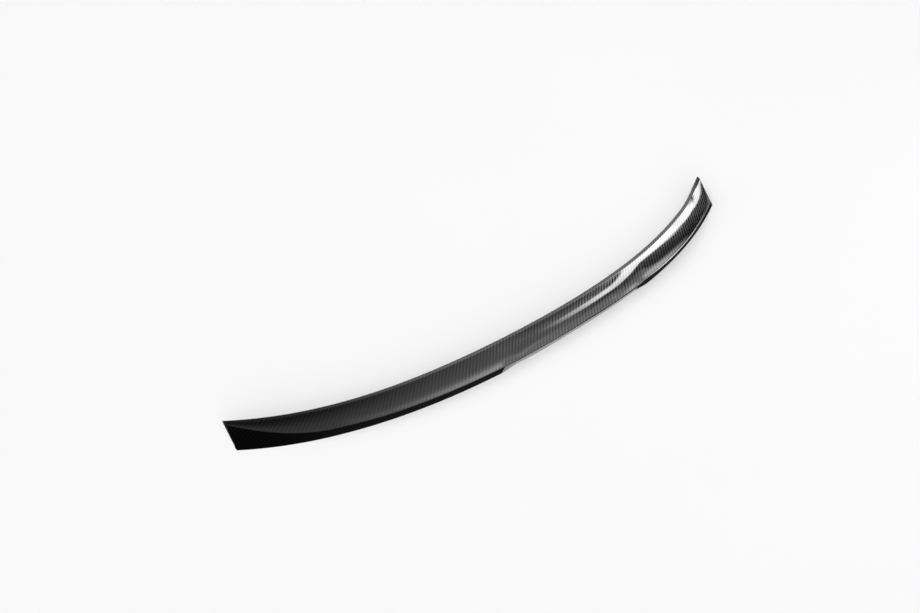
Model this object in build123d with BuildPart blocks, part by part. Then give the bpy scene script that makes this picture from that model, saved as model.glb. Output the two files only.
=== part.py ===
"""Rear spoiler: one moulded carbon-fibre lip shell that caps the rear edge of a boot lid.

Frame: X runs across the car, Y points to the front of the car, Z is up. The lower rear edge lies in Z = 0.
"""

import os

from build123d import *

# Overall size, mm
width = 1120.0              # tip to tip
bow = 125.5                 # how far the tips lie ahead of the middle, seen from above
bow_in_tips = 0.44          # share of the bow that is gathered near the tips
front_height = 40.0         # level front rim above the lower rear edge
chord_middle = 40.0         # lower rear edge to front edge, at the middle
chord_tip = 44.5            # the same at the tips

# Lip, rear face and front rim
lip_height = 29.0           # crease above the lower rear edge
lip_overhang = 10.5         # crease behind the lower rear edge
lip_setback = 1.6           # how far the rounding of the crease reaches along each face
rim_width = 8.0             # level rim along the front edge
wall = 2.2                  # laminate with its clear coat
foot_width = 12.0           # turned-in flange at the lower edge
foot_width_tip = 8.0        # the same at the tips
foot_trim = 1.0             # moulding allowance under the outer flanges, cut off level at Z = 0

# Left tip, where the crease sweeps up to the rim
sweep_length = 160.0        # length of the sweep, measured from the tip
tip_face = 4.0              # width that the top face keeps at the tip

# Right tip, where the crease falls to the lower edge
fall_length = 238.0         # length of the fall, measured from the tip
fall_power = 1.8            # how late the fall gathers
fall_ahead = 6.0            # crease ahead of the lower edge at the tip
fall_height = 6.0           # crease above the lower edge at the tip
reach_length = 90.0         # last stretch, where the top face flattens and reaches further forward
tip_reach = 6.0             # how much further it reaches at the tip

# Middle panel, a lower stretch of lip between two short steps
panel_left = -44.0          # middle of the left step
panel_right = 293.0         # middle of the right step
step_length = 44.0
panel_raise = 5.5           # its lower edge above the outer lower edges
panel_lip_drop = 2.5        # its crease below the outer crease

# Hollow of the top face, below its straight line
scoop_left = 3.5            # left of the panel
scoop_panel = 5.2           # in the panel
scoop_right = 2.65          # just right of the panel
scoop_right_tip = 3.9       # what it would grow to at the right tip
scoop_end = 0.2             # what both tips keep
hollow_left = -30.0         # middle of the stretch where it deepens into the panel
hollow_left_run = 120.0     # length of that stretch
hollow_right = 250.0        # middle of the stretch where it comes out of the panel
hollow_right_run = 70.0     # length of that stretch

# Spacing of the sections that the smooth stretches run through
station_spacing = 20.0

# Worked out from the sizes above
half = width / 2
middle_of_depth = (bow + chord_tip + tip_reach - lip_overhang) / 2


def rear_edge(x):
    """Y of the lower rear edge."""
    u = abs(x) / half
    return bow * ((1 - bow_in_tips) * u**2 + bow_in_tips * u**4) - middle_of_depth


def ease(amount):
    """0 to 1, level at both ends."""
    amount = min(1.0, max(0.0, amount))
    return amount**2 * (3 - 2 * amount)


def left_sweep(x):
    """0 along the spoiler, rising to 1 at the left tip."""
    return max(0.0, 1 - (x + half) / sweep_length) ** 2


def right_fall(x):
    """0 along the spoiler, rising to 1 at the right tip."""
    return max(0.0, 1 - (half - x) / fall_length) ** fall_power


def right_reach(x):
    """0 along the spoiler, eased to 1 in the last stretch of the right tip."""
    return ease(1 - (half - x) / reach_length)


def panel(x):
    """1 in the middle panel, 0 outside it, straight across each step."""
    into_left = (x - panel_left) / step_length + 0.5
    into_right = (panel_right - x) / step_length + 0.5
    return min(1.0, max(0.0, min(into_left, into_right)))


def between(start, end, share):
    """The value or point that lies a share of the way from start to end."""
    return start + (end - start) * share


def inward(start, end):
    """Unit vector to the hollow side of the stretch from start to end."""
    along = (end - start).normalized()
    return Vector(along.Y, -along.X)


def inset(before, corner, after):
    """The point one wall inside both stretches that meet at a corner."""
    first = inward(before, corner)
    second = inward(corner, after)
    return corner + (first + second) * (wall / (1 + first.dot(second)))


def hollow_depth(x):
    """Hollow of the top face: deepest in the panel, and almost none at the tips."""
    if x < (hollow_left + hollow_right) / 2:
        depth = between(scoop_left, scoop_panel, ease((x - hollow_left) / hollow_left_run + 0.5))
    else:
        toward_tip = max(0.0, (x - hollow_right) / (half - hollow_right))
        beyond = between(scoop_right, scoop_right_tip, toward_tip)
        depth = between(beyond, scoop_panel, ease((hollow_right - x) / hollow_right_run + 0.5))
    return between(depth, scoop_end, max(left_sweep(x), right_reach(x)))


def section(x):
    """Closed wall profile of the shell across the car's length at X = x."""
    in_panel = panel(x)
    swept = left_sweep(x)
    fallen = right_fall(x)
    chord = between(chord_middle, chord_tip, (x / half) ** 2) + tip_reach * right_reach(x)
    edge_y = rear_edge(x)
    edge_z = panel_raise * in_panel
    flange = between(foot_width, foot_width_tip, max(swept, fallen))
    trim = foot_trim * (1 - in_panel)
    hollow = hollow_depth(x)

    # Outside corners, from the lower rear edge up and forward
    edge = Vector(edge_y, edge_z)
    front = Vector(edge_y + chord, front_height)
    crest = front - Vector(rim_width, 0)
    plain_lip = Vector(edge_y - lip_overhang, lip_height - panel_lip_drop * in_panel)
    swept_lip = crest + (plain_lip - crest).normalized() * tip_face
    fallen_lip = edge + Vector(fall_ahead, fall_height)
    lip = between(between(plain_lip, swept_lip, swept), fallen_lip, fallen)
    down = inward(lip, crest)
    dip = between(lip, crest, 0.5) + down * hollow
    lip_below = lip + (edge - lip).normalized() * lip_setback
    lip_ahead = lip + (dip - lip).normalized() * lip_setback

    # Inside corners, one wall away
    front_under = front - Vector(0, wall)
    crest_under = inset(lip, crest, front)
    lip_under = inset(edge, lip, crest)
    dip_under = between(lip_under, crest_under, 0.5) + down * hollow
    foot_under = edge + Vector(flange, 0)
    foot_end = foot_under + Vector(0, wall)
    foot_inner = inset(foot_under, edge, lip)

    # Lower corners with the allowance, which follows the rear face down
    rear_slope = (edge - lip).normalized()
    edge_below = edge - rear_slope * (trim / rear_slope.Y)
    foot_below = foot_under - Vector(0, trim)

    with BuildSketch(Plane.YZ.offset(x)) as profile:
        with BuildLine():
            Line(edge_below, lip_below)
            TangentArc(lip_below, lip_ahead, tangent=lip - lip_below)
            ThreePointArc(lip_ahead, dip, crest)
            Polyline(crest, front, front_under, crest_under)
            ThreePointArc(crest_under, dip_under, lip_under)
            Polyline(lip_under, foot_inner, foot_end, foot_below, edge_below)
        make_face()
    return profile.sketch.face()


def stations(start, end):
    """Evenly spaced places for the sections of a smooth stretch, ends included."""
    count = round((end - start) / station_spacing)
    return [between(start, end, step / count) for step in range(count + 1)]


# Ends of the two steps
left_step = (panel_left - step_length / 2, panel_left + step_length / 2)
right_step = (panel_right - step_length / 2, panel_right + step_length / 2)

with BuildPart() as spoiler_shell:
    # Left wing, middle panel and right wing
    for start, end in ((-half, left_step[0]), (left_step[1], right_step[0]), (right_step[1], half)):
        loft(sections=[section(x) for x in stations(start, end)])
    # Steps at the two ends of the middle panel
    for step in (left_step, right_step):
        loft(sections=[section(x) for x in step], ruled=True)
    # The outer flanges are cut off level
    split(bisect_by=Plane.XY, keep=Keep.TOP)

spoiler_shell.part.label = "spoiler_shell"

os.makedirs("parts", exist_ok=True)
export_step(spoiler_shell.part, "parts/spoiler_shell.step")
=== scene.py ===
"""Carbon-fibre lip spoiler for a boot lid: its looks, its stage and its camera.

Laid out as a Blender add-on and run as a script. The shell is drawn through sections across the car's
width, from the same sizes as the solid. Its outer skin is a 2x2 twill cloth under a clear coat, whose light
and dark tows are a painted sheen for how the fibres catch the light; the face below the lip is painted
near-black along both wings, a painted shade for the gloss there mirroring a dark surround; and the inside
is bare laminate. All lengths are in metres.
"""

import math

import bpy
from bpy.props import FloatProperty, FloatVectorProperty, PointerProperty
from mathutils import Matrix, Vector


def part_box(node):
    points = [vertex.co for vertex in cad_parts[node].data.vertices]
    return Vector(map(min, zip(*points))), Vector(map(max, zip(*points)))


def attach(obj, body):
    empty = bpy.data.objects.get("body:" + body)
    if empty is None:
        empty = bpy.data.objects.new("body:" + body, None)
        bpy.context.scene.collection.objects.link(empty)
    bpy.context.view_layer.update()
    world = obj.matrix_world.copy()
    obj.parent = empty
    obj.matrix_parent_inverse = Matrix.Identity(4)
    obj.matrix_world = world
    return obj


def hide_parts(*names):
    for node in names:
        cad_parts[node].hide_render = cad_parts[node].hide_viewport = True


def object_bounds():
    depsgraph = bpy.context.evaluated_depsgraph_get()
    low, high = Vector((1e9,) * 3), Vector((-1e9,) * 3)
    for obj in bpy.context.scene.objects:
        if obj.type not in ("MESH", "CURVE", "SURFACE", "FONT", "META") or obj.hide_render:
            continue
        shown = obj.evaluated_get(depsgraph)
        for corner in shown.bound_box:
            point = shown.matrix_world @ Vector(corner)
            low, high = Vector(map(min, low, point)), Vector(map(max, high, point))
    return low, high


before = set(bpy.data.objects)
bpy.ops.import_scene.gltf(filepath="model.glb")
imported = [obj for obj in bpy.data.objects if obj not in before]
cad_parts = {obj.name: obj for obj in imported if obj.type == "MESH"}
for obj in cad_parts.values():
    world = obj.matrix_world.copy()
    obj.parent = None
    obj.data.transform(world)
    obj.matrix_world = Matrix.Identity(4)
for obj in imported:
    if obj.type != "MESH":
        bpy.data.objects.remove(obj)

bl_info = {
    "name": "Carbon Lip Spoiler",
    "version": (1, 0, 0),
    "blender": (4, 5, 0),
    "location": "View3D > Sidebar > Lip Spoiler",
    "description": "Builds a moulded carbon-fibre lip spoiler with its cloth, coat, stage and camera",
    "category": "Object",
}

# The solid's box, which gives the sizes that the shell shares with it
SOLID_LOW, SOLID_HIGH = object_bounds()
SHELL_LOW, SHELL_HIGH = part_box("spoiler_shell")

# The photograph's frame in pixels, and the width of the camera's sensor in millimetres
PHOTO_WIDTH = 920
SENSOR_WIDTH = 36.0
VIEW_REACH = 100.0           # how far the camera sees

# Stretches across the car: where a form starts to swell, where it is full, where it starts to go, its end
SWING_STRETCH = (-0.42, -0.12, -0.02, 0.16)
LEFT_SETTLE_STRETCH = (-0.40, -0.30, -0.06, 0.02)
RIGHT_SETTLE_STRETCH = (0.29, 0.34, 0.56, 0.60)
RIGHT_SETTLE_SHARE = 0.75    # how much of the settling the right crease takes
FALL_POWER = 1.8             # how late the fall at the right tip gathers

# Mesh of the shell
SECTION_SPACING = 0.0018
FACE_STEPS = 24              # across the hollow top face
UNDER_STEPS = 14             # across its underside
BEND_STEPS = 6               # round the crease, the crest and the front edge
FLAT_STEPS = 4               # across the rear face and the rim
LEDGE_STEPS = 3              # across the flange and the underside of the rim
LOWER_EDGE_STEPS = 3         # round the lower rear edge
TRIM_STEPS = 2               # round the trimmed edges of the inside
REAR_ROUND_LIMIT = 0.4       # most of the rear face that the rounding of the crease may take
FACE_ROUND_LIMIT = 0.3       # most of the top face that a rounding may take
CAP_SHARE = 0.3              # how far the second section lies into the rounding at each end
SHARP_ANGLE = math.radians(40)

# Finishes round a section, numbered as the shell's materials are
OUTSIDE, PAINTED_BLACK, INSIDE = 0, 1, 2
COAT_SHIFT = 0.020           # how far left of the steps the coat of the panel's rear face starts and ends
# The black steps of the crease are painted shade for the crease mirroring a dark room
DARK_STEPS_PANEL = 4         # black steps of the crease in the panel, a thin line
DARK_STEPS_WING = 2          # the same along the wings, where the black face runs on

# Twill cloth
DRIFT_SCALE, DRIFT_REACH = 14.0, 0.0016           # slow wander of the tows
FIBRES_ACROSS, FIBRES_ALONG = 11.0, 0.35          # fibres to a tow's width, across it and along it
FIBRE_TONE, FIBRE_TONE_BASE = 0.9, 0.55
# Painted shade: the cloth's colour darkens towards the sides of each tow, following its relief
PAINTED_RELIEF_SHADE, PAINTED_RELIEF_SHADE_BASE = 0.6, 0.5
FIBRE_RELIEF = 0.12
FIBRE_ROUGHNESS, ROUGHNESS_BASE = 0.12, 0.24
LEFT_FLAT_SHEEN_STRETCH = (-0.40, -0.02)                    # where the painted flattening of the sheen on the left wing ends

# Relief of each finish, as its depth and its strength, and the ripple of the moulded surfaces
GLOSS_RELIEF = (0.00012, 0.6)
BLACK_RELIEF = (0.00004, 0.5)
LAMINATE_RELIEF = (0.00025, 0.8)
GRAIN_SHARE = 0.25
BLACK_WAVE, LAMINATE_WAVE = 150.0, 60.0
BLACK_ROUGHNESS, BLACK_ROUGHNESS_BASE = 0.14, 0.48
LAMINATE_ROUGHNESS, LAMINATE_RIPPLE = 0.3, 0.5

# Floor, and the wide soft light: its lowest and highest bearing and rise, and the half widths of its soft
# edges, in degrees
FLOOR_REACH, FLOOR_GAP = 14.0, 0.0003
MOTTLE_SCALE, MOTTLE, MOTTLE_BASE = 3.0, 0.03, 0.985
FILL_BEARINGS = (-170, -62, 9, 12)
FILL_RISES = (8, 58, 6, 6)


# Helpers for the settings

def length(name, description, default):
    """A setting that is a length in metres."""
    return FloatProperty(name=name, description=description, default=default, precision=4,
                         subtype="DISTANCE", unit="LENGTH")


def share(name, description, default):
    """A setting from 0 to 1."""
    return FloatProperty(name=name, description=description, default=default, min=0.0, max=1.0,
                         subtype="FACTOR")


def turn(name, description, degrees):
    """A setting that is an angle."""
    return FloatProperty(name=name, description=description, default=math.radians(degrees),
                         subtype="ANGLE", unit="ROTATION")


def colour(name, description, default):
    """A setting that is a linear colour."""
    return FloatVectorProperty(name=name, description=description, default=default, size=3,
                               min=0.0, max=1.0, subtype="COLOR")


def level(name, description, default):
    """A plain number, such as how bright a light is."""
    return FloatProperty(name=name, description=description, default=default, min=0.0)


class SPOILER_PG_shell(bpy.types.PropertyGroup):
    """Sizes of the shell."""

    width: length("Width", "Tip to tip across the car", SHELL_HIGH.x - SHELL_LOW.x)
    bow: length("Bow", "How far the tips lie ahead of the middle", 0.1255)
    bow_in_tips: share("Bow in tips", "Share of the bow that is gathered near the tips", 0.44)
    front_height: length("Front height", "Front rim above the lower rear edge", SHELL_HIGH.z - SHELL_LOW.z)
    chord_middle: length("Chord in the middle", "Lower rear edge to front edge, at the middle", 0.040)
    chord_tip: length("Chord at the tips", "Lower rear edge to front edge, at the tips", 0.0445)
    lip_height: length("Lip height", "Crease above the lower rear edge", 0.029)
    lip_overhang: length("Lip overhang", "Crease behind the lower rear edge", 0.0105)
    lip_settle: length("Lip settle", "How far the crease of both wings sinks and leans back", 0.00135)
    left_swing: length("Left swing", "How far the lower edge swings back at the left step", 0.003)
    lip_round_left: length("Left lip rounding", "Reach of the rounding along each face of the left crease",
                           0.0010)
    lip_round_right: length("Right lip rounding", "The same on the right wing", 0.0042)
    scoop_left: length("Left scoop", "Hollow of the top face left of the middle panel", 0.0035)
    scoop_right: length("Right scoop", "Hollow of the top face just right of the middle panel", 0.00265)
    scoop_right_tip: length("Right tip scoop", "What that hollow would grow to at the right tip", 0.0039)
    rim_width: length("Rim width", "Level rim along the front edge", 0.008)
    rim_round: length("Rim rounding", "Reach of the rounding at the front edge", 0.0018)
    crest_round: length("Crest rounding", "Reach of the rounding where the top face meets the rim", 0.0008)
    wall: length("Wall", "Laminate with its clear coat", 0.0022)
    foot_width: length("Foot width", "Turned-in flange at the lower edge", 0.012)
    foot_width_tip: length("Foot width at the tips", "The same flange at the tips", 0.008)
    edge_round: length("Edge rounding", "Reach of the rounding on the trimmed edges", 0.0005)
    sweep_length: length("Sweep length", "Stretch at the left tip where the crease sweeps up", 0.16)
    tip_face: length("Tip face", "Width that the top face keeps at the left tip", 0.004)
    tip_scoop: length("Tip scoop", "Hollow that the top face keeps at both tips", 0.0002)
    fall_length: length("Fall length", "Stretch at the right tip where the crease falls", 0.238)
    fall_ahead: length("Fall ahead", "Crease ahead of the lower edge at the right tip", 0.006)
    fall_height: length("Fall height", "Crease above the lower edge at the right tip", 0.006)
    reach_length: length("Reach length", "Last stretch at the right tip, where the top face flattens", 0.09)
    tip_reach: length("Tip reach", "How much further forward the front edge reaches there", 0.006)
    panel_left: length("Panel left", "Middle of the left step of the panel", -0.044)
    panel_right: length("Panel right", "Middle of the right step of the panel", 0.293)
    step_length: length("Step length", "Length of each step", 0.044)
    panel_raise: length("Panel raise", "Lower edge of the panel above the outer lower edges", 0.0055)
    panel_lip_drop: length("Panel lip drop", "Crease of the panel below the outer crease", 0.0025)
    panel_scoop: length("Panel scoop", "Hollow of the panel's top face", 0.0052)
    hollow_left: length("Hollow left", "Middle of the stretch where the hollow deepens", -0.03)
    hollow_left_run: length("Hollow left run", "Length of that stretch", 0.12)
    hollow_right: length("Hollow right", "Middle of the stretch where the hollow eases off", 0.25)
    hollow_right_run: length("Hollow right run", "Length of that stretch", 0.07)


class SPOILER_PG_finish(bpy.types.PropertyGroup):
    """Cloth, coat and colours."""

    tow_width: length("Tow width", "Width of one flat bundle of fibres; four make a repeat", 0.0021)
    cloth_turn: turn("Cloth turn", "How far the cloth lies turned from the length of the shell", -9.0)
    cloth_follow: share("Cloth follow", "Share of the bow's turn that the cloth follows", 0.55)
    # The light and dark tows are the same fibre; their two colours are a painted sheen for how each kind
    # catches the light
    tow_lit_sheen: colour("Light tows", "Tows that run across the shell", (0.0285, 0.0285, 0.0291))
    tow_shaded_sheen: colour("Dark tows", "Tows that run along the shell", (0.0006, 0.0006, 0.0007))
    # Painted shade: the left wing's cloth shows less of its painted sheen, for that wing catching less
    # light
    left_sheen_contrast: share("Left contrast", "How much of the cloth's contrast the left wing shows", 0.35)
    coat_roughness: share("Coat roughness", "Haze of the clear coat", 0.035)
    # Painted shade: near-black colours for the face below the lip, in place of its gloss mirroring a dark
    # surround
    rear_shade_lit_tows: colour("Rear light tows", "Black face below the lip, light tows", (0.0022, 0.0022, 0.0023))
    rear_shade_dark_tows: colour("Rear dark tows", "Black face below the lip, dark tows", (0.0005, 0.0005, 0.0005))
    # The inside's two tow colours are the same painted sheen, under bare resin
    resin_lit_sheen: colour("Resin lit sheen", "Bare laminate inside, light tows", (0.050, 0.050, 0.052))
    resin_shaded_sheen: colour("Resin shaded sheen", "Bare laminate inside, dark tows", (0.018, 0.018, 0.019))


class SPOILER_PG_stage(bpy.types.PropertyGroup):
    """Floor, lights and camera."""

    floor_colour: colour("Floor", "Plain pale floor", (0.57, 0.57, 0.57))
    floor_white: level("Floor white", "What the view adds to the floor to make it white", 0.39)
    room_light: level("Room light", "Brightness all round", 0.08)
    fill_light: level("Fill light", "Brightness of the wide soft light behind and on the left", 4.3)
    fill_in_gloss: share("Fill in gloss", "Share of that light that the clear coat mirrors", 0.2)
    side_card: level("Side card", "Brightness of the high card on the right", 17.0)
    low_card: level("Low card", "Brightness of the low card on the right", 15.0)
    tip_card: level("Tip card", "Brightness of the low card off the right tip", 12.0)
    lip_card: level("Lip card", "Brightness of the card that lights the left wing's lip", 6.0)
    front_card: level("Front card", "Brightness of the card ahead of the right wing", 4.5)
    front_glow: level("Front glow", "Brightness of the wide card ahead of the middle", 1.85)
    top_card: level("Top card", "Brightness of the broad card overhead", 1.2)
    camera_turn: turn("Camera turn", "How far the camera stands to the left of straight behind", 36.95)
    camera_rise: turn("Camera rise", "How steeply the camera looks down", 42.73)
    camera_distance: length("Camera distance", "From the origin, along the view", 5.0)
    camera_side: length("Camera side step", "Sideways from the line through the origin", -0.0753)
    camera_lift: length("Camera lift", "Upwards from the line through the origin", 0.0517)
    focal_pixels: level("Focal length in pixels", "In pixels of the photograph's width", 2678.0)


# Shape of the shell

def mix(start, end, amount):
    """The value that lies an amount of the way from start to end."""
    return start + (end - start) * amount


def ease(amount):
    """0 to 1, level at both ends."""
    amount = min(1.0, max(0.0, amount))
    return amount * amount * (3.0 - 2.0 * amount)


def swell(x, start, full, late, end):
    """0 outside start and end, eased to 1 from full to late."""
    return ease((x - start) / (full - start)) * ease((end - x) / (end - late))


def panel_share(size, x):
    """1 in the middle panel and 0 outside it, eased across each step."""
    into_left = (x - size.panel_left) / size.step_length + 0.5
    into_right = (size.panel_right - x) / size.step_length + 0.5
    return ease(min(into_left, into_right))


def left_sweep(size, x):
    """0 along the shell, rising to 1 at the left tip."""
    return max(0.0, 1 - (x + size.width / 2) / size.sweep_length) ** 2


def right_fall(size, x):
    """0 along the shell, rising to 1 at the right tip."""
    return max(0.0, 1 - (size.width / 2 - x) / size.fall_length) ** FALL_POWER


def right_reach(size, x):
    """0 along the shell, eased to 1 in the last stretch of the right tip."""
    return ease(1 - (size.width / 2 - x) / size.reach_length)


def swing_back(size, x):
    """How far the lower edge lies behind its even bow."""
    return size.left_swing * swell(x, *SWING_STRETCH)


def lip_sink(size, x):
    """How far the crease of a wing has settled: all of it on the left wing, most of it on the right."""
    left, right = swell(x, *LEFT_SETTLE_STRETCH), swell(x, *RIGHT_SETTLE_STRETCH)
    return size.lip_settle * (left + RIGHT_SETTLE_SHARE * right)


def hollow_depth(size, x):
    """Hollow of the top face: deepest in the panel, and almost none at the tips."""
    if x < (size.hollow_left + size.hollow_right) / 2:
        into_panel = ease((x - size.hollow_left) / size.hollow_left_run + 0.5)
        depth = mix(size.scoop_left, size.panel_scoop, into_panel)
    else:
        into_panel = ease((size.hollow_right - x) / size.hollow_right_run + 0.5)
        toward_tip = max(0.0, (x - size.hollow_right) / (size.width / 2 - size.hollow_right))
        beyond = mix(size.scoop_right, size.scoop_right_tip, toward_tip)
        depth = mix(beyond, size.panel_scoop, into_panel)
    return mix(depth, size.tip_scoop, max(left_sweep(size, x), right_reach(size, x)))


def lip_rounding(size, x):
    """Reach of the rounding of the crease, which grows across the middle panel."""
    into_panel = (x - size.panel_left) / (size.panel_right - size.panel_left)
    return mix(size.lip_round_left, size.lip_round_right, ease(into_panel))


def rear_edge(size, x):
    """Y of the lower rear edge on its even bow."""
    u = abs(x) / (size.width / 2)
    middle_of_depth = (size.bow + size.chord_tip + size.tip_reach - size.lip_overhang) / 2
    return size.bow * ((1 - size.bow_in_tips) * u**2 + size.bow_in_tips * u**4) - middle_of_depth


def bow_slope(size, x):
    """Slope of the bow seen from above."""
    u = x / (size.width / 2)
    return size.bow / (size.width / 2) * (2 * (1 - size.bow_in_tips) * u + 4 * size.bow_in_tips * u**3)


def toward(start, end, distance):
    """The point a distance from start on the way to end."""
    return start + (end - start).normalized() * distance


def hollow_side(start, end):
    """Unit vector to the hollow side of the stretch from start to end."""
    along = (end - start).normalized()
    return Vector((along.y, -along.x))


def inset(before, corner, after, wall):
    """The point one wall inside both stretches that meet at a corner."""
    first = hollow_side(before, corner)
    second = hollow_side(corner, after)
    return corner + (first + second) * (wall / (1.0 + first.dot(second)))


def straight(start, end, steps):
    """Points from start to just before end."""
    return [start.lerp(end, step / steps) for step in range(steps)]


def rounded(start, corner, end, steps):
    """Points of a smooth bend from start to just before end, pulled to a corner."""
    points = []
    for step in range(steps):
        t = step / steps
        points.append(start * (1 - t) ** 2 + corner * (2 * t * (1 - t)) + end * t**2)
    return points


def hollowed(start, end, down, depth, first, last, steps):
    """Points along a shallow hollow between two corners, from one share of its length to another."""
    points = []
    for step in range(steps):
        t = mix(first, last, step / steps)
        points.append(start.lerp(end, t) + down * (4 * depth * t * (1 - t)))
    return points


def section(size, x):
    """Closed wall outline at X = x: a list of ((Y, Z) point, finish of the stretch that starts there),
    and the number of the point where the top face meets the rim."""
    in_panel = panel_share(size, x)
    swept, fallen = left_sweep(size, x), right_fall(size, x)
    u = x / (size.width / 2)
    chord = mix(size.chord_middle, size.chord_tip, u * u) + size.tip_reach * right_reach(size, x)
    flange = mix(size.foot_width, size.foot_width_tip, max(swept, fallen))
    depth = hollow_depth(size, x)

    # Outside corners, from the lower rear edge up and forward
    bowed, back, sink = rear_edge(size, x), swing_back(size, x), lip_sink(size, x)
    edge = Vector((bowed - back, size.panel_raise * in_panel))
    front = Vector((bowed + chord, size.front_height))
    crest = front - Vector((size.rim_width, 0))
    lip_z = size.lip_height - size.panel_lip_drop * in_panel - sink
    plain_lip = Vector((edge.x - size.lip_overhang - sink, lip_z))
    lip = plain_lip.lerp(toward(crest, plain_lip, size.tip_face), swept)
    lip = lip.lerp(edge + Vector((size.fall_ahead, size.fall_height)), fallen)
    down = hollow_side(lip, crest)
    face_width = (crest - lip).length

    # Inside corners, one wall away
    wall = size.wall
    front_under = front - Vector((0, wall))
    crest_under = inset(lip, crest, front, wall)
    lip_under = inset(edge, lip, crest, wall)
    foot_under = edge + Vector((flange, 0))
    foot_end = foot_under + Vector((0, wall))
    foot_inner = inset(foot_under, edge, lip, wall)

    # Where the roundings start and end
    soft = size.edge_round
    lip_round = lip_rounding(size, x)
    lip_start = toward(lip, edge, min(lip_round, REAR_ROUND_LIMIT * (lip - edge).length))
    lip_end = min(FACE_ROUND_LIMIT, lip_round / face_width)
    crest_start = 1.0 - min(FACE_ROUND_LIMIT, size.crest_round / face_width)
    face_first = hollowed(lip, crest, down, depth, lip_end, 1, 1)[0]
    face_last = hollowed(lip, crest, down, depth, crest_start, 1, 1)[0]
    crest_end = toward(crest, front, size.crest_round)
    rim_start = toward(front, crest, size.rim_round)
    rim_low = front_under + Vector((0, min(soft, wall - size.rim_round)))
    rim_top = front - Vector((0, size.rim_round))

    rear = rounded(toward(edge, foot_under, soft), edge, toward(edge, lip, soft), LOWER_EDGE_STEPS)
    rear += straight(toward(edge, lip, soft), lip_start, FLAT_STEPS)
    turn_over = rounded(lip_start, lip, face_first, BEND_STEPS)
    top = hollowed(lip, crest, down, depth, lip_end, crest_start, FACE_STEPS)
    top += rounded(face_last, crest, crest_end, BEND_STEPS)
    rim = straight(crest_end, rim_start, FLAT_STEPS) + rounded(rim_start, front, rim_top, BEND_STEPS)
    # The two roundings of a thin rim meet, and leave no straight stretch between them
    if size.wall - size.rim_round > soft:
        rim += straight(rim_top, rim_low, 1)
    rim += rounded(rim_low, front_under, toward(front_under, crest_under, soft), TRIM_STEPS)
    under = straight(toward(front_under, crest_under, soft), crest_under, LEDGE_STEPS)
    under += hollowed(crest_under, lip_under, down, depth, 0, 1, UNDER_STEPS)
    under += straight(lip_under, foot_inner, FLAT_STEPS)
    under += straight(foot_inner, toward(foot_end, foot_inner, soft), LEDGE_STEPS)
    under += rounded(toward(foot_end, foot_inner, soft), foot_end, toward(foot_end, foot_under, soft),
                     TRIM_STEPS)
    under += straight(toward(foot_end, foot_under, soft), toward(foot_under, foot_end, soft), 1)
    under += rounded(toward(foot_under, foot_end, soft), foot_under, toward(foot_under, edge, soft),
                     TRIM_STEPS)
    under += straight(toward(foot_under, edge, soft), toward(edge, foot_under, soft), LEDGE_STEPS)

    # The panel has the coat below its crease too, and a thin black line of painted shade along the crease;
    # the wings keep the painted black below the lip
    coated = panel_share(size, x + COAT_SHIFT) > 0.5
    dark_steps = DARK_STEPS_PANEL if coated else DARK_STEPS_WING
    outline = [(point, OUTSIDE if coated else PAINTED_BLACK) for point in rear]
    outline += [(point, PAINTED_BLACK) for point in turn_over[:dark_steps]]
    outline += [(point, OUTSIDE) for point in turn_over[dark_steps:] + top + rim]
    outline += [(point, INSIDE) for point in under]
    crest_number = len(rear) + len(turn_over) + len(top)
    return outline, crest_number


def drawn_in(points, distance):
    """The outline's points moved a distance into the wall, for the rounded ends."""
    moved = []
    for number, point in enumerate(points):
        along = points[(number + 1) % len(points)] - points[number - 1]
        moved.append(point + Vector((along.y, -along.x)).normalized() * distance)
    return moved


def end_stations(size):
    """Places across the car for the sections, with how far each is drawn in, rounded at both ends."""
    half = size.width / 2
    soft = size.edge_round
    count = round(size.width / SECTION_SPACING)
    inner = [(mix(soft - half, half - soft, number / count), 0.0) for number in range(count + 1)]
    cap = [(half, soft), (half - CAP_SHARE * soft, CAP_SHARE * soft)]
    return [(-x, depth) for x, depth in cap] + inner + [(x, depth) for x, depth in reversed(cap)]


def shell_mesh(size, turn_share):
    """Closed mesh of the shell with its cloth coordinates in metres and a finish for every face."""
    vertices, rings, across, finishes = [], [], [], []
    for x, depth in end_stations(size):
        outline, crest_number = section(size, x)
        points = [point for point, finish in outline]
        if depth:
            points = drawn_in(points, depth)
        run = [0.0]
        for before, after in zip(points, points[1:] + points[:1]):
            run.append(run[-1] + (after - before).length)
        across.append([value - run[crest_number] for value in run])
        rings.append(x)
        vertices += [(x, point.x, point.y) for point in points]
        finishes.append([finish for point, finish in outline])
    around = len(finishes[0])

    def laid(ring, number):
        """Place on the cloth, which turns with the bow by a share of its slope."""
        angle = turn_share * math.atan(bow_slope(size, rings[ring]))
        run = across[ring][number]
        return rings[ring] + run * math.sin(angle), run * math.cos(angle)

    faces, cloth, kinds = [], [], []
    for ring in range(len(rings) - 1):
        for number in range(around):
            after = (number + 1) % around
            low, high = ring * around, (ring + 1) * around
            faces.append((low + number, high + number, high + after, low + after))
            cloth += [laid(ring, number), laid(ring + 1, number),
                      laid(ring + 1, number + 1), laid(ring, number + 1)]
            kinds.append(finishes[ring][number])
    for ring, order in ((0, 1), (len(rings) - 1, -1)):
        cap = list(range(ring * around, (ring + 1) * around))[::order]
        faces.append(cap)
        cloth += [(vertices[corner][1], vertices[corner][2]) for corner in cap]
        kinds.append(OUTSIDE)

    mesh = bpy.data.meshes.new("spoiler_shell_skin")
    mesh.from_pydata(vertices, [], faces)
    layer = mesh.uv_layers.new(name="cloth")
    layer.data.foreach_set("uv", [value for pair in cloth for value in pair])
    mesh.polygons.foreach_set("material_index", kinds)
    mesh.polygons.foreach_set("use_smooth", [True] * len(faces))
    mesh.validate()
    mesh.update()
    mesh.set_sharp_from_angle(angle=SHARP_ANGLE)
    return mesh


# Shader helpers

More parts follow.
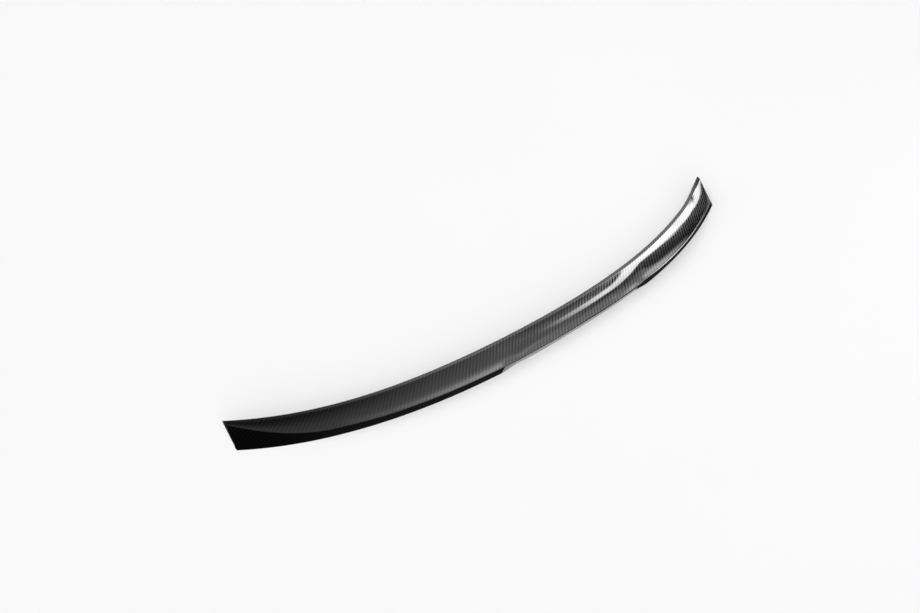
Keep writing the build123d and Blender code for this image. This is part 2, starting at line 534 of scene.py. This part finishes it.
def place(tree, kind, inputs=None, **settings):
    """Adds a node, with its settings and with values or links for its inputs."""
    node = tree.nodes.new(kind)
    for name, value in settings.items():
        setattr(node, name, value)
    for name, value in (inputs or {}).items():
        if isinstance(value, bpy.types.NodeSocket):
            tree.links.new(value, node.inputs[name])
        else:
            node.inputs[name].default_value = value
    return node


def math_node(tree, operation, first, second=None, third=None):
    """One Math node, as the socket that it puts out."""
    values = {number: value for number, value in enumerate((first, second, third)) if value is not None}
    return place(tree, "ShaderNodeMath", values, operation=operation).outputs[0]


def vector_node(tree, operation, first, second):
    """One Vector Math node, as the socket that it puts out. The second value of a scaling is a number."""
    other = "Scale" if operation == "SCALE" else 1
    return place(tree, "ShaderNodeVectorMath", {0: first, other: second}, operation=operation).outputs[0]


def blend_colour(tree, factor, first, second, kind="MIX"):
    """One colour mix, as the socket that it puts out."""
    inputs = {0: factor, 6: first, 7: second}
    return place(tree, "ShaderNodeMix", inputs, data_type="RGBA", blend_type=kind).outputs[2]


def grey(tree, tone):
    """A grey of the given tone, as a colour."""
    return place(tree, "ShaderNodeCombineColor", {0: tone, 1: tone, 2: tone}).outputs[0]


def eased(tree, value, start, end, low, high):
    """A value taken from one range to another, level at both ends."""
    return place(tree, "ShaderNodeMapRange", {0: value, 1: start, 2: end, 3: low, 4: high},
                 interpolation_type="SMOOTHSTEP").outputs[0]


def window(tree, value, low, high, low_edge, high_edge):
    """1 between two values and 0 outside them, with soft edges of the given half widths."""
    opens = eased(tree, value, low - low_edge, low + low_edge, 0.0, 1.0)
    shuts = eased(tree, value, high - high_edge, high + high_edge, 1.0, 0.0)
    return math_node(tree, "MULTIPLY", opens, shuts)


def new_group(name, inputs, outputs):
    """A shader node group with named sockets, and its two end nodes."""
    group = bpy.data.node_groups.new(name, "ShaderNodeTree")
    for socket_name, kind, default in inputs:
        socket = group.interface.new_socket(name=socket_name, in_out="INPUT", socket_type=kind)
        if default is not None:
            socket.default_value = default
    for socket_name, kind in outputs:
        group.interface.new_socket(name=socket_name, in_out="OUTPUT", socket_type=kind)
    return group, group.nodes.new("NodeGroupInput"), group.nodes.new("NodeGroupOutput")


def twill_cloth():
    """Group: a 2x2 twill of flat tows. It puts out the cloth's colour, its relief and its roughness. The
    two colours of the tows are a painted sheen for how each kind catches the light, and the darker sides of
    each tow are painted shade.
    """
    found = bpy.data.node_groups.get("twill_cloth")
    if found:
        return found
    group, given, made = new_group(
        "twill_cloth",
        [("Cloth", "NodeSocketVector", None), ("Tow Width", "NodeSocketFloat", 0.002),
         ("Turn", "NodeSocketFloat", 0.0), ("Light Tows", "NodeSocketColor", (0.1, 0.1, 0.1, 1)),
         ("Dark Tows", "NodeSocketColor", (0.03, 0.03, 0.03, 1)), ("Contrast", "NodeSocketFloat", 1.0)],
        [("Color", "NodeSocketColor"), ("Height", "NodeSocketFloat"), ("Roughness", "NodeSocketFloat")])
    turned = place(group, "ShaderNodeVectorRotate",
                   {"Vector": given.outputs["Cloth"], "Angle": given.outputs["Turn"]},
                   rotation_type="Z_AXIS").outputs[0]
    # A slow drift keeps the tows from lying dead straight
    drift = place(group, "ShaderNodeTexNoise", {"Vector": turned, "Scale": DRIFT_SCALE, "Detail": 1.0})
    sway = vector_node(group, "SUBTRACT", drift.outputs["Color"], (0.5, 0.5, 0.5))
    laid = vector_node(group, "ADD", turned, vector_node(group, "SCALE", sway, DRIFT_REACH))
    per_tow = math_node(group, "DIVIDE", 1.0, given.outputs["Tow Width"])
    in_tows = vector_node(group, "SCALE", laid, per_tow)
    split = place(group, "ShaderNodeSeparateXYZ", {"Vector": in_tows})
    p, q = split.outputs[0], split.outputs[1]
    column, row = math_node(group, "FLOOR", p), math_node(group, "FLOOR", q)
    part_p, part_q = math_node(group, "FRACT", p), math_node(group, "FRACT", q)
    # Two over and two under, one step further on each row
    phase = math_node(group, "FLOORED_MODULO", math_node(group, "SUBTRACT", column, row), 4.0)
    crossing = math_node(group, "LESS_THAN", phase, 1.5)

    def arch(value):
        """1 in the middle of a tow and 0 at its sides."""
        centred = math_node(group, "MULTIPLY_ADD", value, 2.0, -1.0)
        return math_node(group, "SUBTRACT", 1.0, math_node(group, "MULTIPLY", centred, centred))

    def tow(breadth, reach):
        """Relief of a tow, which arches over its breadth and half as much along its reach on top."""
        lifted = math_node(group, "MULTIPLY_ADD", arch(reach), 0.5, 0.5)
        return math_node(group, "MULTIPLY", arch(breadth), lifted)

    # Relief of the tows that run across the shell, and of those that run along it
    across_reach = math_node(group, "MULTIPLY_ADD", math_node(group, "SUBTRACT", part_q, phase), 0.5, 0.5)
    along_reach = math_node(group, "MULTIPLY_ADD", math_node(group, "ADD", part_p, phase), 0.5, -1.0)
    across, along = tow(part_p, across_reach), tow(part_q, along_reach)
    height = place(group, "ShaderNodeMix", {0: crossing, 2: along, 3: across}, data_type="FLOAT").outputs[0]

    # Fine fibres along each tow
    fibres_across = vector_node(group, "MULTIPLY", in_tows, (FIBRES_ACROSS, FIBRES_ALONG, 1.0))
    fibres_along = vector_node(group, "MULTIPLY", in_tows, (FIBRES_ALONG, FIBRES_ACROSS, 1.0))
    lay = place(group, "ShaderNodeMix", {0: crossing, 4: fibres_along, 5: fibres_across},
                data_type="VECTOR").outputs[1]
    fibre = place(group, "ShaderNodeTexNoise", {"Vector": lay, "Scale": 1.0, "Detail": 2.0}).outputs["Fac"]
    # Painted shade: the colour darkens towards the sides of each tow, following its relief; the fibres add
    # a random tone
    tone = math_node(group, "MULTIPLY",
                     math_node(group, "MULTIPLY_ADD", fibre, FIBRE_TONE, FIBRE_TONE_BASE),
                     math_node(group, "MULTIPLY_ADD", height, PAINTED_RELIEF_SHADE, PAINTED_RELIEF_SHADE_BASE))
    # At a low contrast the painted sheen fades, and both kinds of tow come near the tone between them
    off_middle = math_node(group, "SUBTRACT", crossing, 0.5)
    shown = math_node(group, "MULTIPLY_ADD", off_middle, given.outputs["Contrast"], 0.5)
    bare = blend_colour(group, shown, given.outputs["Dark Tows"], given.outputs["Light Tows"])
    shaded = blend_colour(group, 1.0, bare, grey(group, tone), "MULTIPLY")
    relief = math_node(group, "MULTIPLY_ADD", fibre, FIBRE_RELIEF, height)
    rough = math_node(group, "MULTIPLY_ADD", fibre, FIBRE_ROUGHNESS, ROUGHNESS_BASE)
    for name, socket in (("Color", shaded), ("Height", relief), ("Roughness", rough)):
        group.links.new(socket, made.inputs[name])
    return group


def surface_ripple():
    """Group: the faint waviness and specks of a moulded surface. It puts out a relief and a mask."""
    found = bpy.data.node_groups.get("surface_ripple")
    if found:
        return found
    group, given, made = new_group(
        "surface_ripple",
        [("Place", "NodeSocketVector", None), ("Wave", "NodeSocketFloat", 150.0),
         ("Grain", "NodeSocketFloat", 2500.0)],
        [("Height", "NodeSocketFloat"), ("Mask", "NodeSocketFloat")])

    def noise(scale, detail):
        """Noise of the scale that the named input gives."""
        inputs = {"Vector": given.outputs["Place"], "Scale": given.outputs[scale], "Detail": detail}
        return place(group, "ShaderNodeTexNoise", inputs).outputs["Fac"]

    wave, grain = noise("Wave", 2.0), noise("Grain", 1.0)
    group.links.new(math_node(group, "MULTIPLY_ADD", grain, GRAIN_SHARE, wave), made.inputs["Height"])
    group.links.new(wave, made.inputs["Mask"])
    return group


# Finishes

def new_material(name):
    """A material with a bare Principled shader, as (material, tree, shader)."""
    material = bpy.data.materials.new(name)
    material.use_nodes = True
    tree = material.node_tree
    return material, tree, tree.nodes["Principled BSDF"]


def woven(tree, finish, light, dark):
    """The cloth's coordinates, and the twill in the given colours of its lit and shaded tows, a painted
    sheen.
    """
    cloth = place(tree, "ShaderNodeUVMap", uv_map="cloth").outputs["UV"]
    inputs = {"Cloth": cloth, "Tow Width": finish.tow_width, "Turn": finish.cloth_turn,
              "Light Tows": (*light, 1.0), "Dark Tows": (*dark, 1.0)}
    return cloth, place(tree, "ShaderNodeGroup", inputs, node_tree=twill_cloth())


def rippled(tree, wave):
    """The ripple of a moulded surface, with waves of the given scale."""
    where = place(tree, "ShaderNodeTexCoord").outputs["Object"]
    return place(tree, "ShaderNodeGroup", {"Place": where, "Wave": wave}, node_tree=surface_ripple())


def dress(tree, shader, tint, roughness, height, relief):
    """Gives a shader its colour, its roughness, and its relief of a given depth and strength."""
    depth, strength = relief
    bump = place(tree, "ShaderNodeBump", {"Height": height, "Distance": depth, "Strength": strength})
    tree.links.new(tint, shader.inputs["Base Color"])
    tree.links.new(roughness, shader.inputs["Roughness"])
    tree.links.new(bump.outputs["Normal"], shader.inputs["Normal"])


def carbon_gloss(finish):
    """Twill cloth under a deep clear coat."""
    material, tree, shader = new_material("carbon_gloss")
    cloth, weave = woven(tree, finish, finish.tow_lit_sheen, finish.tow_shaded_sheen)
    # Painted shade: the cloth's painted sheen is flatter over the left wing, for that wing catching less
    # light
    along = place(tree, "ShaderNodeSeparateXYZ", {"Vector": cloth}).outputs[0]
    tree.links.new(eased(tree, along, *LEFT_FLAT_SHEEN_STRETCH, finish.left_sheen_contrast, 1.0), weave.inputs["Contrast"])
    dress(tree, shader, weave.outputs["Color"], weave.outputs["Roughness"], weave.outputs["Height"],
          GLOSS_RELIEF)
    shader.inputs["Metallic"].default_value = 1.0
    shader.inputs["Specular Tint"].default_value = (0.5, 0.5, 0.5, 1.0)
    shader.inputs["Coat Weight"].default_value = 1.0
    shader.inputs["Coat Roughness"].default_value = finish.coat_roughness
    shader.inputs["Coat IOR"].default_value = 1.5
    return material


def painted_shade_black(finish):
    """Painted shade: a near-black satin finish on the face below the lip, which stands in for the gloss
    carbon there mirroring a dark surround, with a trace of its cloth.
    """
    material, tree, shader = new_material("painted_shade_black")
    weave = woven(tree, finish, finish.rear_shade_lit_tows, finish.rear_shade_dark_tows)[1]
    ripple = rippled(tree, BLACK_WAVE)
    rough = math_node(tree, "MULTIPLY_ADD", ripple.outputs["Mask"], BLACK_ROUGHNESS, BLACK_ROUGHNESS_BASE)
    dress(tree, shader, weave.outputs["Color"], rough, ripple.outputs["Height"], BLACK_RELIEF)
    shader.inputs["Specular IOR Level"].default_value = 0.008
    return material


def bare_laminate(finish):
    """Uncoated inside of the shell, with the cloth showing through a thin film of resin."""
    material, tree, shader = new_material("bare_laminate")
    weave = woven(tree, finish, finish.resin_lit_sheen, finish.resin_shaded_sheen)[1]
    ripple = rippled(tree, LAMINATE_WAVE)
    height = math_node(tree, "MULTIPLY_ADD", ripple.outputs["Height"], LAMINATE_RIPPLE,
                       weave.outputs["Height"])
    rough = math_node(tree, "MULTIPLY_ADD", ripple.outputs["Mask"], LAMINATE_ROUGHNESS,
                      weave.outputs["Roughness"])
    dress(tree, shader, weave.outputs["Color"], rough, height, LAMINATE_RELIEF)
    return material


# Stage

def pale_floor(stage):
    """A wide level floor just under the lower edge, which the view brightens to white."""
    level_z = SOLID_LOW.z - FLOOR_GAP
    corners = [(x * FLOOR_REACH, y * FLOOR_REACH, level_z) for x, y in ((-1, -1), (1, -1), (1, 1), (-1, 1))]
    mesh = bpy.data.meshes.new("studio_floor")
    mesh.from_pydata(corners, [], [(0, 1, 2, 3)])
    floor = bpy.data.objects.new("studio_floor", mesh)
    bpy.context.scene.collection.objects.link(floor)
    material, tree, shader = new_material("studio_floor")
    where = place(tree, "ShaderNodeTexCoord").outputs["Object"]
    mottle = place(tree, "ShaderNodeTexNoise", {"Vector": where, "Scale": MOTTLE_SCALE, "Detail": 3.0})
    tone = math_node(tree, "MULTIPLY_ADD", mottle.outputs["Fac"], MOTTLE, MOTTLE_BASE)
    tint = blend_colour(tree, 1.0, (*stage.floor_colour, 1.0), grey(tree, tone), "MULTIPLY")
    tree.links.new(tint, shader.inputs["Base Color"])
    shader.inputs["Roughness"].default_value = 0.9
    shader.inputs["Specular IOR Level"].default_value = 0.1
    rays = place(tree, "ShaderNodeLightPath")
    seen = math_node(tree, "ADD", rays.outputs["Is Camera Ray"], rays.outputs["Is Glossy Ray"])
    seen = math_node(tree, "ADD", seen, rays.outputs["Is Transmission Ray"])
    white = math_node(tree, "MULTIPLY", math_node(tree, "MINIMUM", seen, 1.0), stage.floor_white)
    tree.links.new(white, shader.inputs["Emission Strength"])
    shader.inputs["Emission Color"].default_value = (1.0, 1.0, 1.0, 1.0)
    mesh.materials.append(material)
    return floor


def soft_surround(stage):
    """A dim room with one wide soft light on the left and behind. Bearings run from the car's front to
    its right."""
    world = bpy.data.worlds.new("soft_surround")
    world.use_nodes = True
    tree = world.node_tree
    where = place(tree, "ShaderNodeTexCoord")
    split = place(tree, "ShaderNodeSeparateXYZ", {"Vector": where.outputs["Generated"]})
    bearing = math_node(tree, "ARCTAN2", split.outputs[0], split.outputs[1])
    rise = math_node(tree, "ARCSINE", split.outputs[2])
    lit = math_node(tree, "MULTIPLY", window(tree, bearing, *map(math.radians, FILL_BEARINGS)),
                    window(tree, rise, *map(math.radians, FILL_RISES)))
    # The coat mirrors only a share of it, so that the shell does not turn white from the right
    mirrored = place(tree, "ShaderNodeLightPath").outputs["Is Glossy Ray"]
    kept = math_node(tree, "MULTIPLY_ADD", mirrored, stage.fill_in_gloss - 1.0, 1.0)
    lit = math_node(tree, "MULTIPLY", lit, kept)
    total = math_node(tree, "MULTIPLY_ADD", lit, stage.fill_light, stage.room_light)
    tree.links.new(total, tree.nodes["Background"].inputs["Strength"])
    tree.nodes["Background"].inputs["Color"].default_value = (1.0, 1.0, 1.0, 1.0)
    bpy.context.scene.world = world


# The cards that the clear coat mirrors. Each hangs square to a view, with the view's bearing and rise in
# degrees, its distance, and the point that the card is seen from. Its sides and the half widths of their
# soft edges are in metres on that plane, and its lean in the plane is in degrees
CARDS = {
    "side_card": dict(bearing=105.0, rise=42.0, distance=0.80, seen_from=(0.3, 0.0, 0.02), lean=13.2,
                      left=-0.091, right=0.118, bottom=-0.129, top=0.335,
                      soft_left=0.020, soft_right=0.050, soft_bottom=0.150, soft_top=0.180),
    "low_card": dict(bearing=100.0, rise=25.0, distance=0.85, seen_from=(0.42, 0.05, 0.02), lean=6.1,
                     left=0.021, right=0.519, bottom=-0.267, top=0.355,
                     soft_left=0.016, soft_right=0.068, soft_bottom=0.050, soft_top=0.200),
    "tip_card": dict(bearing=95.0, rise=10.0, distance=0.80, seen_from=(0.5, 0.1, 0.02), lean=25.1,
                     left=0.056, right=0.103, bottom=-0.046, top=0.145,
                     soft_left=0.004, soft_right=0.017, soft_bottom=0.012, soft_top=0.039),
    "front_card": dict(bearing=55.0, rise=45.0, distance=0.62, seen_from=(0.2, 0.0, 0.02), lean=-29.2,
                       left=-0.006, right=0.111, bottom=-0.288, top=0.035,
                       soft_left=0.034, soft_right=0.039, soft_bottom=0.023, soft_top=0.020),
    "lip_card": dict(bearing=45.0, rise=40.0, distance=0.50, seen_from=(-0.1, 0.0, 0.02), lean=36.3,
                     left=-0.160, right=0.005, bottom=0.095, top=0.115,
                     soft_left=0.275, soft_right=0.027, soft_bottom=0.034, soft_top=0.187),
    "front_glow": dict(bearing=40.0, rise=45.0, distance=0.70, seen_from=(0.0, 0.0, 0.02), lean=13.2,
                       left=-0.176, right=0.445, bottom=-0.449, top=0.197,
                       soft_left=0.350, soft_right=0.021, soft_bottom=0.245, soft_top=0.089),
    "top_card": dict(bearing=60.0, rise=72.0, distance=0.90, seen_from=(0.0, 0.0, 0.02), lean=-5.2,
                     left=-0.463, right=0.953, bottom=-0.316, top=0.298,
                     soft_left=0.500, soft_right=0.327, soft_bottom=0.050, soft_top=0.600),
}


def gloss_card(name, strength, bearing, rise, distance, seen_from, lean, left, right, bottom, top,
               soft_left, soft_right, soft_bottom, soft_top):
    """A soft bright card for the clear coat to mirror, which leaves the floor evenly lit."""
    a, e, lean = math.radians(bearing), math.radians(rise), math.radians(lean)
    facing = Vector((math.sin(a) * math.cos(e), math.cos(a) * math.cos(e), math.sin(e)))
    level_side = Vector((math.cos(a), -math.sin(a), 0.0))
    steep = level_side.cross(facing)
    side = level_side * math.cos(lean) - steep * math.sin(lean)
    upward = level_side * math.sin(lean) + steep * math.cos(lean)
    width, height = right - left + soft_left + soft_right, top - bottom + soft_bottom + soft_top
    lamp = bpy.data.lights.new(name, "AREA")
    lamp.shape = "RECTANGLE"
    lamp.size, lamp.size_y = width, height
    lamp.energy = strength * math.pi * width * height
    lamp.use_nodes = True
    tree = lamp.node_tree
    where = place(tree, "ShaderNodeNewGeometry")
    spot = place(tree, "ShaderNodeSeparateXYZ", {"Vector": where.outputs["Parametric"]})
    # The lamp counts its own width from right to left
    fade_left, fade_right = soft_left / width, soft_right / width
    fade_bottom, fade_top = soft_bottom / height, soft_top / height
    glow = math_node(tree, "MULTIPLY",
                     window(tree, spot.outputs[0], fade_right, 1 - fade_left, fade_right, fade_left),
                     window(tree, spot.outputs[1], fade_bottom, 1 - fade_top, fade_bottom, fade_top))
    tree.links.new(glow, tree.nodes["Emission"].inputs["Strength"])
    card = bpy.data.objects.new(name, lamp)
    bpy.context.scene.collection.objects.link(card)
    card.location = (Vector(seen_from) + facing * distance
                     + side * (left + right + soft_right - soft_left) / 2
                     + upward * (bottom + top + soft_top - soft_bottom) / 2)
    card.rotation_euler = Matrix((-side, upward, facing)).transposed().to_euler()
    card.visible_diffuse = False
    return card


def photo_camera(stage):
    """The camera at the photograph's angle, with its focal length in the photograph's pixels."""
    a, e = stage.camera_turn, stage.camera_rise
    right = Vector((math.cos(a), -math.sin(a), 0.0))
    up = Vector((math.sin(a) * math.sin(e), math.cos(a) * math.sin(e), math.cos(e)))
    back = Vector((-math.sin(a) * math.cos(e), -math.cos(a) * math.cos(e), math.sin(e)))
    data = bpy.data.cameras.new("photo_camera")
    data.sensor_fit = "HORIZONTAL"
    data.sensor_width = SENSOR_WIDTH
    data.lens = stage.focal_pixels / PHOTO_WIDTH * SENSOR_WIDTH
    data.clip_end = VIEW_REACH
    camera = bpy.data.objects.new("photo_camera", data)
    bpy.context.scene.collection.objects.link(camera)
    camera.location = right * stage.camera_side + up * stage.camera_lift + back * stage.camera_distance
    camera.rotation_euler = back.to_track_quat("Z", "Y").to_euler()
    bpy.context.scene.camera = camera
    return camera


# Operators

class SPOILER_OT_shell(bpy.types.Operator):
    """Draw the shell with its cloth, its black face and its bare inside"""

    bl_idname = "spoiler.shell"
    bl_label = "Spoiler Shell"
    bl_options = {"REGISTER", "UNDO"}

    def execute(self, context):
        finish = context.scene.spoiler_finish
        mesh = shell_mesh(context.scene.spoiler_shell, finish.cloth_follow)
        for material in (carbon_gloss(finish), painted_shade_black(finish), bare_laminate(finish)):
            mesh.materials.append(material)
        shell = bpy.data.objects.new("spoiler_shell_skin", mesh)
        context.scene.collection.objects.link(shell)
        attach(shell, "root")
        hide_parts("spoiler_shell")
        return {"FINISHED"}


class SPOILER_OT_stage(bpy.types.Operator):
    """Lay the floor, hang the soft lights and stand the camera"""

    bl_idname = "spoiler.stage"
    bl_label = "Studio Stage"
    bl_options = {"REGISTER", "UNDO"}

    def execute(self, context):
        stage = context.scene.spoiler_stage
        pale_floor(stage)
        soft_surround(stage)
        for name, card in CARDS.items():
            gloss_card(name, getattr(stage, name), **card)
        photo_camera(stage)
        context.scene.view_settings.view_transform = "Standard"
        return {"FINISHED"}


class SPOILER_PT_panel(bpy.types.Panel):
    """Lists the pieces and their settings in the sidebar."""

    bl_idname = "SPOILER_PT_panel"
    bl_label = "Lip Spoiler"
    bl_space_type = "VIEW_3D"
    bl_region_type = "UI"
    bl_category = "Lip Spoiler"

    def draw(self, context):
        for operator, settings in ((SPOILER_OT_shell, ("spoiler_shell", "spoiler_finish")),
                                   (SPOILER_OT_stage, ("spoiler_stage",))):
            self.layout.operator(operator.bl_idname)
            for name in settings:
                group = getattr(context.scene, name)
                column = self.layout.column(align=True)
                for setting in group.__annotations__:
                    column.prop(group, setting)


CLASSES = (SPOILER_PG_shell, SPOILER_PG_finish, SPOILER_PG_stage, SPOILER_OT_shell, SPOILER_OT_stage,
           SPOILER_PT_panel)
SETTINGS = (("spoiler_shell", SPOILER_PG_shell), ("spoiler_finish", SPOILER_PG_finish),
            ("spoiler_stage", SPOILER_PG_stage))


def register():
    for cls in CLASSES:
        bpy.utils.register_class(cls)
    for name, group in SETTINGS:
        setattr(bpy.types.Scene, name, PointerProperty(type=group))


def unregister():
    for name, group in SETTINGS:
        delattr(bpy.types.Scene, name)
    for cls in reversed(CLASSES):
        bpy.utils.unregister_class(cls)


def main():
    register()
    bpy.ops.spoiler.shell()
    bpy.ops.spoiler.stage()
    bpy.context.view_layer.update()


if __name__ == "__main__":
    main()
